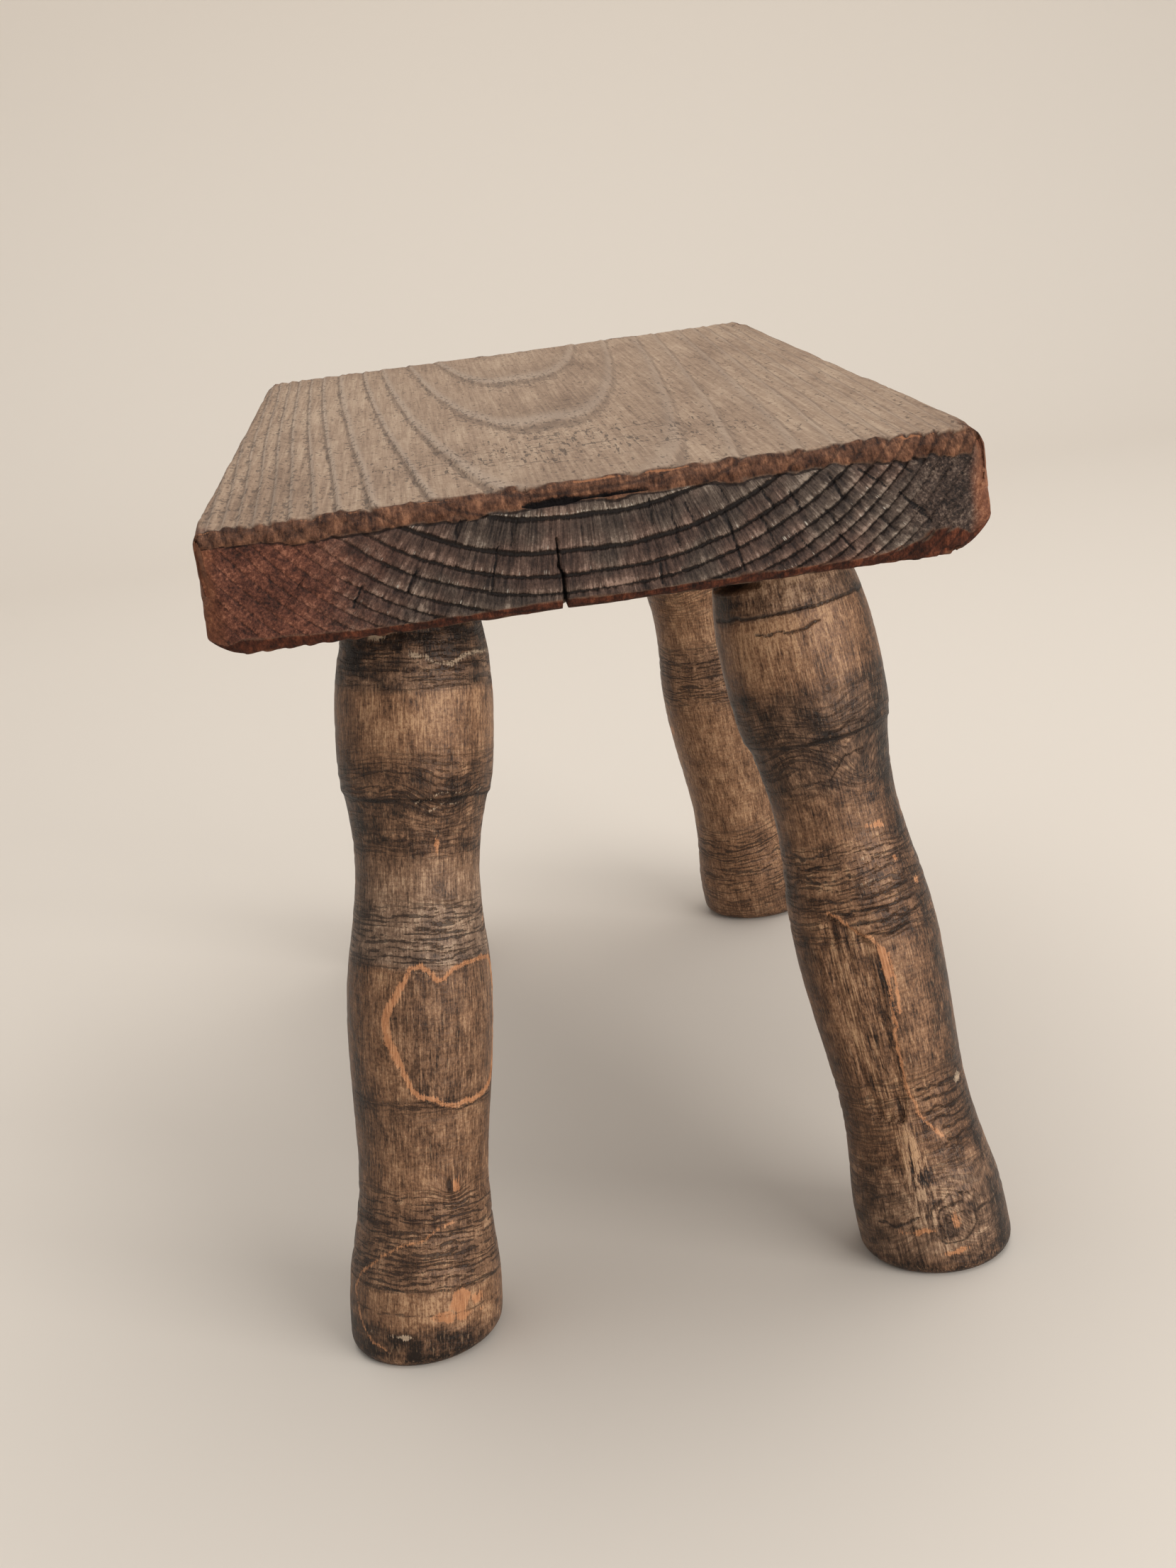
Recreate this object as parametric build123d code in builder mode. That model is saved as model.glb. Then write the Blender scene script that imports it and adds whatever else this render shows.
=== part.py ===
from build123d import *
from math import tan, radians
import os

os.makedirs("parts", exist_ok=True)

# A low wooden milking stool: one thick board on four turned legs that splay outwards.
# Units are millimetres. The origin is on the ground under the middle of the seat, +Z is up,
# the board's grain and length run along Y, and the front end grain faces -Y.

# Seat board
SEAT_WIDTH = 180.0
SEAT_LENGTH = 350.0
SEAT_THICKNESS = 29.0
STOOL_HEIGHT = 220.0
CORNER_ROUND = 5.0          # the four upright corners
TOP_WEAR = 4.0              # rounding worn into the arrises of the sitting face
BOTTOM_WEAR = 4.5           # rounding worn into the arrises of the underside

# Legs: where each axis leaves the underside of the board, and where it meets the ground.
# The mortises were bored by eye, so no two legs stand quite alike.
LEG_AXES = {
    "leg_front_left": ((-44.0, -116.0), (-69.0, -143.5)),
    "leg_front_right": ((47.5, -116.0), (70.0, -139.5)),
    "leg_rear_left": ((-46.0, 116.0), (-68.0, 139.0)),
    "leg_rear_right": ((46.5, 116.0), (67.5, 138.5)),
}

# Turned outline of a leg: distance up the axis from the ground, and radius there
FOOT_OVERCUT = 6.0          # turned below ground level, then sawn level
FOOT = (9.0, 20.0)
LOWER_WAIST = (46.0, 16.9)
MIDDLE_SWELL = (87.0, 18.9)
UPPER_WAIST = (123.0, 16.0)
TOP_SWELL = (160.0, 20.1)
SHOULDER_RADIUS = 16.5      # where the top swell rounds in to the square shoulder
FOOT_ROUND = 3.5            # wear around the sole

# Blind round mortise-and-tenon joints, bored and turned square to each leg's axis
TENON_RADIUS = 12.0
MORTISE_RADIUS = 12.05      # glue line
MORTISE_DEPTH = 20.0        # along the axis, from the middle of its mouth

UNDERSIDE = STOOL_HEIGHT - SEAT_THICKNESS


def leg_ends(name):
    """The axis of a leg: its point on the ground and its point in the underside of the board."""
    (top_x, top_y), (foot_x, foot_y) = LEG_AXES[name]
    return Vector(foot_x, foot_y, 0), Vector(top_x, top_y, UNDERSIDE)


# The seat: a plank with worn arrises and four blind mortises that follow the legs' splay
with BuildPart() as seat_board:
    with BuildSketch(Plane.XY.offset(UNDERSIDE)) as outline:
        Rectangle(SEAT_WIDTH, SEAT_LENGTH)
        fillet(outline.vertices(), radius=CORNER_ROUND)
    extrude(amount=SEAT_THICKNESS)
    fillet(seat_board.faces().sort_by(Axis.Z)[-1].edges(), radius=TOP_WEAR)
    fillet(seat_board.faces().sort_by(Axis.Z)[0].edges(), radius=BOTTOM_WEAR)
    for name in LEG_AXES:
        ground, mouth = leg_ends(name)
        axis = (mouth - ground).normalized()
        start = mouth - axis * MORTISE_DEPTH
        with BuildSketch(Plane(origin=start, z_dir=axis)):
            Circle(MORTISE_RADIUS)
        extrude(amount=2 * MORTISE_DEPTH, mode=Mode.SUBTRACT)
seat_board.part.label = "seat_board"
export_step(seat_board.part, "parts/seat_board.step")

# The legs: one turned outline on four splayed axes, each sawn level at the ground
for name in LEG_AXES:
    ground, mouth = leg_ends(name)
    axis = (mouth - ground).normalized()
    length = (mouth - ground).length
    lean = axis.get_angle(Vector(0, 0, 1))
    # The shoulder is square to the axis, so only its outer edge comes up against the board.
    shoulder = length - SHOULDER_RADIUS * tan(radians(lean))
    across = Plane(origin=ground, z_dir=axis)
    with BuildPart() as leg:
        with BuildSketch(Plane(origin=ground, x_dir=across.x_dir, z_dir=-across.y_dir)):
            with BuildLine():
                sole = (FOOT[1], -FOOT_OVERCUT)
                swells = [(radius, height) for height, radius in
                          (FOOT, LOWER_WAIST, MIDDLE_SWELL, UPPER_WAIST, TOP_SWELL)]
                rim = (SHOULDER_RADIUS, shoulder)
                Spline(sole, *swells, rim, tangents=[(0, 1), (-1, 2)])
                Polyline(
                    rim,
                    (TENON_RADIUS, shoulder),
                    (TENON_RADIUS, length + MORTISE_DEPTH),
                    (0, length + MORTISE_DEPTH),
                    (0, -FOOT_OVERCUT),
                    sole,
                )
            make_face()
        revolve(axis=Axis(ground, axis))
        split(bisect_by=Plane.XY, keep=Keep.TOP)
        fillet(leg.faces().sort_by(Axis.Z)[0].edges(), radius=FOOT_ROUND)
    leg.part.label = name
    export_step(leg.part, f"parts/{name}.step")
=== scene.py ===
import itertools
import math

import bmesh
import bpy
import numpy as np
from mathutils import Matrix, Vector


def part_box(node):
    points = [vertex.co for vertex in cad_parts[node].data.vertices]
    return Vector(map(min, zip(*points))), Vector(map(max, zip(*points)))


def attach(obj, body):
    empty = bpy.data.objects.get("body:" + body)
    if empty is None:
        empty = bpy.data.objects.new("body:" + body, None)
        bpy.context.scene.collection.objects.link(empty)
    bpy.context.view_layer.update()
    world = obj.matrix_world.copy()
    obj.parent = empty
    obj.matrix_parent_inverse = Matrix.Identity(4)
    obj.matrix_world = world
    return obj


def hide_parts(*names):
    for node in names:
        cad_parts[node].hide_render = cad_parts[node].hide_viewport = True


# An old wooden milking stool: a weathered plank on four turned legs. Shapes are worked out here in
# millimetres and stored in metres.
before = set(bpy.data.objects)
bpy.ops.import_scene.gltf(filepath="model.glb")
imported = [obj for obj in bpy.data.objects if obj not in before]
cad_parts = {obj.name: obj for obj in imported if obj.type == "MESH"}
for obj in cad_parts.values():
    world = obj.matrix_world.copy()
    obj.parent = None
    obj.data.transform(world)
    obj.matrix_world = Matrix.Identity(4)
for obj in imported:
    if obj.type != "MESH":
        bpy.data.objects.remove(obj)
scene = bpy.context.scene
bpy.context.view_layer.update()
MM = 0.001
AWAY = -3.0             # how far inside a mark a point is, when it is nowhere near one


# ---- numbers that repeat each run

def lattice_value(cell, seed):
    """A repeatable number from 0 to 1 for each row of whole numbers in cell."""
    mixed = seed * 1013904223 + 12345
    for column, prime in zip(cell.T, (374761393, 668265263, 2147483629)):
        mixed = (mixed ^ (column * prime)) & 0xFFFFFFFF
        mixed = (mixed ^ (mixed >> 15)) * 2246822519 & 0xFFFFFFFF
        mixed = (mixed ^ (mixed >> 13)) * 3266489917 & 0xFFFFFFFF
    return ((mixed ^ (mixed >> 16)) & 0xFFFFFF) / 0xFFFFFF


def noise(points, size, seed=0, octaves=1):
    """Smooth noise from -1 to 1, with lumps about `size` across (one number or one per axis)."""
    total, weight_sum = 0, 0
    for octave in range(octaves):
        scaled = points / np.asarray(size, float) * 2 ** octave
        cell = np.floor(scaled).astype(np.int64)
        part = scaled - cell
        part = part * part * (3 - 2 * part)
        value = 0
        for corner in itertools.product((0, 1), repeat=points.shape[1]):
            weight = np.prod(np.where(corner, part, 1 - part), axis=1)
            value = value + weight * lattice_value(cell + corner, seed + 17 * octave)
        total = total + (2 * value - 1) / 2 ** octave
        weight_sum += 1 / 2 ** octave
    return total / weight_sum


def step(low, high, value):
    """0 below low, 1 above high, smooth between them. low may be above high."""
    part = np.clip((value - low) / (high - low), 0, 1)
    return part * part * (3 - 2 * part)


def bump(value, middle, width):
    """1 at the middle, falling smoothly to 0 at width on each side."""
    return 1 - step(0, width, np.abs(value - middle))


def mix(a, b, part):
    return a + (b - a) * part


def line_gap(across, up, line):
    """Distance from each (across, up) to a line through a list of points."""
    nearest = np.full(len(across), np.inf)
    for (a0, u0), (a1, u1) in zip(line, line[1:]):
        da, du = a1 - a0, u1 - u0
        part = np.clip(((across - a0) * da + (up - u0) * du) / (da * da + du * du), 0, 1)
        nearest = np.minimum(nearest, np.hypot(across - a0 - part * da, up - u0 - part * du))
    return nearest


def inside(across, up, outline):
    """Whether each (across, up) is inside a closed outline."""
    odd = np.zeros(len(across), bool)
    for (a0, u0), (a1, u1) in zip(outline, outline[1:] + outline[:1]):
        if u0 != u1:
            crosses = (up < u0) != (up < u1)
            odd ^= crosses & (across < (a1 - a0) * (up - u0) / (u1 - u0) + a0)
    return odd


# ---- meshes

def new_piece(name, points, faces, material):
    """An object at the origin from points in millimetres."""
    mesh = bpy.data.meshes.new(name)
    mesh.from_pydata((points * MM).tolist(), [], faces)
    mesh.materials.append(material)
    mesh.update()
    piece = bpy.data.objects.new(name, mesh)
    scene.collection.objects.link(piece)
    return piece


def points_of(piece, what="co"):
    """A piece's vertex positions in millimetres, or its vertex normals."""
    flat = np.empty(len(piece.data.vertices) * 3)
    piece.data.vertices.foreach_get(what, flat)
    return flat.reshape(-1, 3) / (MM if what == "co" else 1)


def move_points(piece, points):
    piece.data.vertices.foreach_set("co", (points * MM).ravel())
    piece.data.update()


def paint(piece, **fields):
    """Stores numbers or vectors at each vertex for the material to read."""
    for name, values in fields.items():
        kind, part = ("FLOAT_VECTOR", "vector") if values.ndim == 2 else ("FLOAT", "value")
        layer = piece.data.attributes.new(name, kind, "POINT")
        layer.data.foreach_set(part, values.astype(np.float32).ravel())


def finish_piece(piece, node):
    """The piece stands for its CAD node and rides where that node does."""
    piece.data.shade_smooth()
    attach(piece, "root")
    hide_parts(node)


# ---- materials

class Look:
    """One Principled material, and short ways to add and join its nodes."""

    def __init__(self, name):
        self.material = bpy.data.materials.new(name)
        self.material.use_nodes = True
        self.tree = self.material.node_tree
        self.surface = self.tree.nodes["Principled BSDF"]

    def node(self, kind, *values, **settings):
        """Adds a node with its settings, and fills its first sockets in order."""
        made = self.tree.nodes.new(kind)
        for name, value in settings.items():
            setattr(made, name, value)
        for socket, value in zip(made.inputs, values):
            self.put(socket, value)
        return made

    def put(self, socket, value):
        """Joins a socket to another, or gives it a plain value. None leaves it alone."""
        if isinstance(value, bpy.types.NodeSocket):
            self.tree.links.new(value, socket)
        elif isinstance(value, tuple) and socket.type == "RGBA":
            socket.default_value = (*value, 1)
        elif value is not None:
            socket.default_value = value

    def painted(self, name, part="Fac"):
        return self.node("ShaderNodeAttribute", attribute_name=name).outputs[part]

    def parts(self, vector):
        return self.node("ShaderNodeSeparateXYZ", vector).outputs

    def noise(self, vector, scale=None, detail=3, roughness=0.5, distortion=0):
        """Noise from 0 to 1. scale is in lumps to a metre along each axis."""
        if scale:
            vector = self.node("ShaderNodeVectorMath", vector, scale, operation="MULTIPLY").outputs[0]
        made = self.node("ShaderNodeTexNoise", vector)
        for name, value in (("Scale", 1), ("Detail", detail), ("Roughness", roughness),
                            ("Distortion", distortion)):
            made.inputs[name].default_value = value
        return made.outputs["Fac"]

    def math(self, operation, *values):
        return self.node("ShaderNodeMath", *values, operation=operation).outputs[0]

    def times(self, *values):
        total = values[0]
        for value in values[1:]:
            total = self.math("MULTIPLY", total, value)
        return total

    def sum(self, base, *terms):
        """base plus each value times its weight."""
        total = base
        for value, weight in terms:
            total = self.math("MULTIPLY_ADD", value, weight, total)
        return total

    def range(self, value, low, high, to_low=0, to_high=1):
        """Smoothly from to_low at low to to_high at high."""
        return self.node("ShaderNodeMapRange", value, low, high, to_low, to_high,
                         interpolation_type="SMOOTHSTEP").outputs[0]

    def ramp(self, value, *stops):
        """Colours at even steps from 0 to 1."""
        made = self.node("ShaderNodeValToRGB")
        elements = made.color_ramp.elements
        while len(elements) < len(stops):
            elements.new(0.5)
        for number, (element, colour) in enumerate(zip(elements, stops)):
            element.position = number / (len(stops) - 1)
            element.color = (*colour, 1)
        self.put(made.inputs[0], value)
        return made.outputs[0]

    def blend(self, factor, a, b, how="MIX"):
        """Colour a, turning to b as the factor, or a tuple's values multiplied, goes from 0 to 1."""
        made = self.node("ShaderNodeMix", data_type="RGBA", blend_type=how)
        self.put(made.inputs["Factor"], self.times(*factor) if isinstance(factor, tuple) else factor)
        self.put(made.inputs[6], a)
        self.put(made.inputs[7], b)
        return made.outputs[2]

    def finish(self, colour, roughness, specular, height, depth):
        """Fills the shader's sockets. A height of 0 to 1 stands for `depth` millimetres of bump."""
        bump_node = self.node("ShaderNodeBump")
        bump_node.inputs["Strength"].default_value = 1
        bump_node.inputs["Distance"].default_value = depth * MM
        self.put(bump_node.inputs["Height"], height)
        for name, value in (("Base Color", colour), ("Roughness", roughness),
                            ("Specular IOR Level", specular), ("Normal", bump_node.outputs[0])):
            self.put(self.surface.inputs[name], value)
        return self.material


# ---- the seat's growth rings

# The plank was sawn from one side of a tree. Its pith lies above the sitting face and comes nearer
# to it towards the rear, so the rings are bowls in the end grain and long arches on the face.
PITH_X = -2
FLAT_HALF = 6           # the bottom of each bowl is nearly straight
PITH_UP_LEFT, PITH_UP_RIGHT = 48, 55        # above the front end of the face
PITH_FALL = 0.053       # how much nearer for each millimetre towards the rear
FIRST_WIGGLE, SECOND_WIGGLE = 0.7, 0.28     # how far the rings wander
# Depth of each year's dark late wood below the face at the front end. The last years are narrow.
RING_DEPTHS = np.array([-45, -38, -31.5, -25, -18.5, -12.2, -5.6, 2.4, 7.9, 15.7, 20.9, 24.8, 29, 32.2,
                        35.3, *np.arange(38.3, 80, 2.9)])

seat_lo, seat_hi = (np.array(corner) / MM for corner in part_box("seat_board"))
seat_middle_z = (seat_lo[2] + seat_hi[2]) / 2
seat_thick = seat_hi[2] - seat_lo[2]


def wood_of(points):
    """Where points lie in the tree (along the rings, ring count, up the trunk), and the ring spacing."""
    x, y, z = points.T
    up = np.where(x < PITH_X, PITH_UP_LEFT, PITH_UP_RIGHT)
    across = np.maximum(np.abs(x - PITH_X) - FLAT_HALF, 0)
    down = up + seat_hi[2] - z - PITH_FALL * (y - seat_lo[1])
    depth = np.hypot(across, down) - up
    depth = depth + FIRST_WIGGLE * noise(points, (30, 110, 30), 1)
    depth = depth + SECOND_WIGGLE * noise(points, (6, 45, 6), 2, 2)
    rings = np.interp(depth, RING_DEPTHS, np.arange(len(RING_DEPTHS)))
    middles = (RING_DEPTHS[1:] + RING_DEPTHS[:-1]) / 2
    spacing = np.interp(depth, middles, np.diff(RING_DEPTHS))
    ray = np.arctan2(x - PITH_X, down) * (up + 12)
    return np.stack([ray, rings, y], axis=1), spacing


# ---- the seat board

SEAT_CELLS = (144, 76, 24)
FRONT_CELLS = (7, 8)        # rows over the front bevel, and how far back they reach
NEAR_CELLS = (40, 110)      # rows over the near part of the face
REAR_CELLS = (6, 10)        # rows over the rear bevel
CAD_MARGIN = 0.45           # how far the mean surface lies under the CAD board's, for the ridges

# Checks in the front end grain, as points across and up the end from the middle of the underside
MAIN_CHECK = [(-9.5, 17), (-9.6, 12), (-9.9, 10.6), (-9.1, 8.8), (-9.2, 4), (-9.4, -1)]
CHECKS = {      # by width
    0.12: [[(-66, 16.2), (-72, 9.4)]],
    0.33: [[(-19, 22), (-19.9, 16)]],
    0.39: [[(11.9, 23), (12, 17)], [(16.4, 22), (17.2, 15), (17.6, 11)], [(20, 21), (21.4, 16.4)],
           [(27.6, 24), (29.6, 19.4)], [(44, 11), (46.4, 7)], [(71, 13), (75, 9)]],
    0.44: [[(-41, 14.4), (-42.6, 11.6), (-44, 9.4)], [(-53.4, 12.4), (-56.6, 7.8)],
           [(36.3, 15.6), (38, 11.6), (40.2, 7.6)], [(43.6, 20), (46, 15.6)], [(50.8, 15.4), (54, 11.2)],
           [(63.6, 11.6), (66.8, 8)], [(68.5, 23), (71.5, 20.6)]],
    0.5: [[(-30.2, 24), (-31.8, 20.3)], [(-22.6, 17), (-24.2, 11), (-25.4, 7)], [(12.6, 8), (12.9, 3.5)],
           [(37.2, 22), (39.6, 17)], [(59.4, 23), (65.6, 18.2)]],
    0.55: [[(52.4, 23), (55.6, 17)], [(54, 9), (57, 5)]],
    0.61: [[(28.6, 17.5), (29.6, 13), (30.6, 8.4), (31.8, 4)], [(68, 16.6), (73.4, 11.6)]],
}
REAR_CHECKS = 26
REAR_PITH_DROP = 18         # the pith is this much nearer to the face at the rear end


def box_surface(cells):
    """Lattice points (whole numbers) on the surface of a block of cells, and its quads."""
    quads = []
    for axis in range(3):
        a, b = [other for other in range(3) if other != axis]
        i, j = (grid.ravel() for grid in np.meshgrid(range(cells[a]), range(cells[b]), indexing="ij"))
        for side in (0, cells[axis]):
            corners = []
            for step_a, step_b in ((0, 0), (1, 0), (1, 1), (0, 1)):
                corner = np.zeros((len(i), 3), int)
                corner[:, axis] = side
                corner[:, a] = i + step_a
                corner[:, b] = j + step_b
                corners.append(corner)
            outward = (side > 0) == (axis != 1)
            quads.append(np.stack(corners if outward else corners[::-1], axis=1))
    quads = np.concatenate(quads)
    lattice, index = np.unique(quads.reshape(-1, 3), axis=0, return_inverse=True)
    return lattice, index.reshape(-1, 4)


def seat_blank():
    """The sharp-edged block. Its lattice is closest over the front end and its bevel."""
    lattice, quads = box_surface(SEAT_CELLS)
    part = lattice / np.array(SEAT_CELLS)
    points = mix(seat_lo, seat_hi, part)
    length = seat_hi[1] - seat_lo[1]
    rows, reach = [0], [0]
    for count, depth in (FRONT_CELLS, NEAR_CELLS):
        rows.append(rows[-1] + count)
        reach.append(depth)
    rows += [SEAT_CELLS[1] - REAR_CELLS[0], SEAT_CELLS[1]]
    reach += [length - REAR_CELLS[1], length]
    points[:, 1] = seat_lo[1] + np.interp(lattice[:, 1], rows, reach)
    blank = bmesh.new()
    vertices = [blank.verts.new(point) for point in points]
    for quad in quads:
        blank.faces.new([vertices[i] for i in quad])
    front, near = seat_lo[1] + FRONT_CELLS[1] + 0.1, seat_lo[1] + NEAR_CELLS[1] + 0.1
    fine = [edge for edge in blank.edges if all(v.co.y < front for v in edge.verts)]
    bmesh.ops.subdivide_edges(blank, edges=fine, cuts=2, use_grid_fill=True)
    fine = [edge for edge in blank.edges
            if all(v.co.z > seat_hi[2] - 0.1 and front - 0.2 < v.co.y < near for v in edge.verts)]
    bmesh.ops.subdivide_edges(blank, edges=fine, cuts=1, use_grid_fill=True)
    blank.verts.index_update()
    points = np.array([v.co for v in blank.verts])
    faces = [[v.index for v in face.verts] for face in blank.faces]
    blank.free()
    return points, faces


def worn_block(points):
    """Rounds and bevels a sharp block's arrises.

    Returns the points, where each lies across the rounding, how far past the start of the nearest
    arris it is (1 at the sharp corner, below 0 on the flat), and which axis that arris runs along.
    """
    top = step(seat_middle_z - 8, seat_middle_z + 8, points[:, 2])
    left = points[:, 0] < 0
    near_end = step(22, 6, np.minimum(points[:, 1] - seat_lo[1], seat_hi[1] - points[:, 1]))
    toward_side = step(55, 88, np.abs(points[:, 0]))
    uneven = noise(points, 20, 5, 3)
    low_x, high_x, low_z, high_z = (
        np.where(left, mix(*on_left, near_end), mix(*on_right, near_end)) for on_left, on_right in (
            ((4.5, 8.5), (5, 10.5)), ((1.6, 2.8), (3.6, 4.8)),
            ((3, 4.6), (4, 8.4)), ((1.6, 4), (3.4, 6.2))))
    side_z = mix(low_z, high_z, top)
    end_z = mix(mix(2.8, 5, top), side_z, toward_side)
    radii = np.stack([mix(low_x, high_x, top) + 0.7 * uneven, mix(3, 6.2, top) + 1.3 * uneven,
                      mix(side_z, end_z, near_end) + 0.7 * uneven], axis=1)
    inner = np.clip(points, seat_lo + radii, seat_hi - radii)
    offset = (points - inner) / radii
    size = np.abs(offset)
    flatter = (size[:, 1] > size[:, 0]) | (top < 0.5)
    power = np.where(flatter, 1.5, 2)[:, None]
    length = (size ** power).sum(axis=1, keepdims=True) ** (1 / power)
    gaps = np.minimum(points - seat_lo, seat_hi - points) / radii
    past = 1 - np.sort(gaps, axis=1)[:, 1]
    return inner + radii * offset / length, offset, past, np.argmax(gaps, axis=1)


def end_checks(points):
    """How far inside a check each point of the end grain is, in millimetres, for both ends."""
    x, y, z = points.T
    up = z - seat_lo[2]
    wander = 0.55 * noise(points[:, [0, 2]], (2.2, 2.2), 31, 2)
    within = np.full(len(points), AWAY)
    front = y < 0
    for width, lines in CHECKS.items():
        for line in lines:
            inside_line = 0.5 * width - line_gap(x + wander, up, line)
            within = np.where(front, np.maximum(within, inside_line), within)
    for number in range(REAR_CHECKS):
        pick = lattice_value(np.array([[number, part] for part in range(5)]), 77)
        start = np.array([mix(-82, 82, pick[0]), mix(3, 25, pick[1])])
        away = start - [PITH_X, PITH_UP_LEFT + seat_thick - REAR_PITH_DROP]
        away *= mix(2.5, 8, pick[2]) / np.linalg.norm(away)
        line = [start, start + away]
        gap = mix(0.15, 0.3, pick[3]) - line_gap(x + wander, up, line)
        within = np.where(front, within, np.maximum(within, gap))
    return np.clip(within, AWAY, -AWAY)


def make_seat(material):
    blank, faces = seat_blank()
    shaped, offset, past, along = worn_block(blank)
    seat = new_piece("seat_plank", shaped, faces, material)
    normal = points_of(seat, "normal")
    x, y, z = shaped.T
    wood, spacing = wood_of(shaped)
    ring = wood[:, 1]
    late = ring - np.floor(ring)
    ring_gap = np.minimum(late, 1 - late) * spacing
    front = y < 0

    facing_end = step(0.55, 0.9, np.abs(normal[:, 1]))
    facing_top = step(0.6, 0.95, normal[:, 2])
    facing_under = step(0.6, 0.95, -normal[:, 2])
    facing_side = step(0.75, 0.97, np.abs(normal[:, 0]))
    ragged = noise(shaped, (4.5, 4.5, 2.5), 8, 3)
    saw = (late - 0.5) * step(20, 55, x) * front
    past += 0.38 * ragged + 0.2 * saw
    arris = step(0, 0.22, past) * np.where(along == 2, 0, 1)
    ends = step(150, 168, np.abs(y) + 8 * ragged)
    arris *= np.where(along == 1, mix(0.25, 1, ends), 1)
    end_arris = arris * (along == 0)
    top_arris = end_arris * (z > seat_middle_z)

    # Raised late wood on the faces, and grooves along the rings in the end grain
    before = (1 - late) * spacing
    ridge = step(2.2, 0.9, before) * step(0, 0.5, before)
    groove = step(0.75, 0.15, ring_gap)
    worn_flat = 0.6 + 0.4 * noise(shaped, (50, 70, 50), 9)
    across_grain = facing_top + 0.5 * facing_under + 0.25 * facing_side
    height = (mix(0.65, 0.45, step(-50, 0, x)) * ridge - 0.35 * groove) * worn_flat
    height *= across_grain * (1 - 0.75 * arris)
    tint_noise = noise(shaped, (9, 9, 7), 15, 3)
    red = step(-40, -72, np.where(front, x, -x - 20) + 9 * tint_noise)
    coarse = step(60, 80, np.where(front, x, -x) + 6 * tint_noise)
    clear = (1 - 0.8 * red) * (1 - 0.85 * coarse)
    height -= 0.5 * groove * facing_end * (1 - arris) * clear
    sides = 0.4 * step(10, 55, x) + 0.15 * step(-30, -60, x)
    height -= sides * step(0.9, 0.2, ring_gap) * top_arris
    teeth = noise(np.stack([wood[:, 0], np.floor(ring) * 7.3], axis=1), (1.3, 1), 41)
    height += 0.16 * teeth * facing_end * (1 - arris)

    within = end_checks(shaped)
    height -= 0.4 * step(-0.3, 0.15, within) * facing_end * step(0.7, 0.3, arris)

    # One long check runs down to a notch in the lower arris at the front
    up = z - seat_lo[2]
    half_width = mix(0.18, 0.42, step(17, 0, up))
    opened = half_width - line_gap(x, up, MAIN_CHECK)
    opened = np.where(y < seat_lo[1] + mix(2, 14, facing_under), opened, AWAY)
    within = np.maximum(within, opened)
    height -= 2.4 * step(-0.25, 0.3, opened) * np.clip(facing_end + end_arris + facing_under, 0, 1)

    # Under the front bevel a ring let go and left a slot below a long splinter; the material paints it near
    # black, as painted shade inside it.
    slot_half = 0.95 * np.sqrt(np.clip(1 - ((x + 8.8) / 7.5) ** 2, 0, 1))
    slot_half = np.maximum(slot_half, 0.5 * np.sqrt(np.clip(1 - (x / 12.5) ** 2, 0, 1)))
    slot_half *= (1 + 0.6 * noise(shaped, 2.6, 34, 2))
    slot_up = up - (seat_thick - 3.6 + 0.15 * noise(shaped, 4, 33))
    slot = np.where((y < seat_lo[1] + 8) & (slot_half > 0), slot_half - np.abs(slot_up), AWAY)
    within = np.maximum(within, slot)
    height -= 1.8 * step(-0.2, 0.5, slot)

    # The arrises are chewed and chipped, the faces gently uneven
    height += 0.65 * ragged * end_arris + 0.25 * ragged * (arris - end_arris)
    chips = step(0.35, 0.75, noise(shaped, (5, 5, 4), 12, 2)) * arris
    height -= 0.9 * chips
    # Just below the front bevel's lower border the end is undercut in a ledge; the material paints a dark
    # line along it as painted shade.
    ledge = bump(past, 0.02, 0.13) * step(0.5, 0.9, np.abs(normal[:, 1])) * (z > seat_middle_z)
    ledge *= (along == 0) * (1 + 0.7 * noise(shaped, 7, 21, 2))
    height -= 0.5 * ledge
    height += 0.3 * noise(shaped, (60, 90, 30), 13, 2) * (1 - arris) - CAD_MARGIN
    move_points(seat, np.clip(shaped + normal * height[:, None], seat_lo, seat_hi))

    # What the material needs to know
    edge = np.minimum(seat_hi[0] - np.abs(x), np.where(np.abs(x) > 50, up * 1.3 + 2, 99))
    rim = step(6, 2, edge + 3 * tint_noise) * step(160, 170, np.abs(y))
    lip = top_arris * bump(np.abs(offset[:, 1]), 0.3, 0.26)
    bare = noise(shaped, (9, 9, 4), 14, 3)
    bare = mix(-1.3, 0.2, np.clip(lip + 0.1 * arris, 0, 1)) + bare
    low = arris * (z < seat_middle_z)
    frost = step(1.4, 0.3, before) * (np.floor(ring) == 7) * bump(x, -1, 34)
    frost = np.maximum(frost, bump(x, 25, 9) * bump(up, 24, 4.5)) * facing_end
    crazed = step(0.05, 0.75, bump(x, 0, 85) * bump(y, -110, 52) + 0.25 * tint_noise)
    crazed = crazed * step(0.5, 0.9, facing_top)
    shade = (0.07 * step(52, 64, x) - 0.03 * step(20, -40, x) - 0.06 * bump(x, 30, 24)) * front
    facing = np.stack([facing_end * (1 - arris), facing_top, arris], axis=1)
    paint(seat, wood=wood, spacing=spacing, facing=facing, tint=np.stack([red, coarse, rim], axis=1),
          bare=bare, check=within, crazed=crazed, low=low, ledge=ledge, frost=frost, shade=shade)
    finish_piece(seat, "seat_board")


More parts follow.
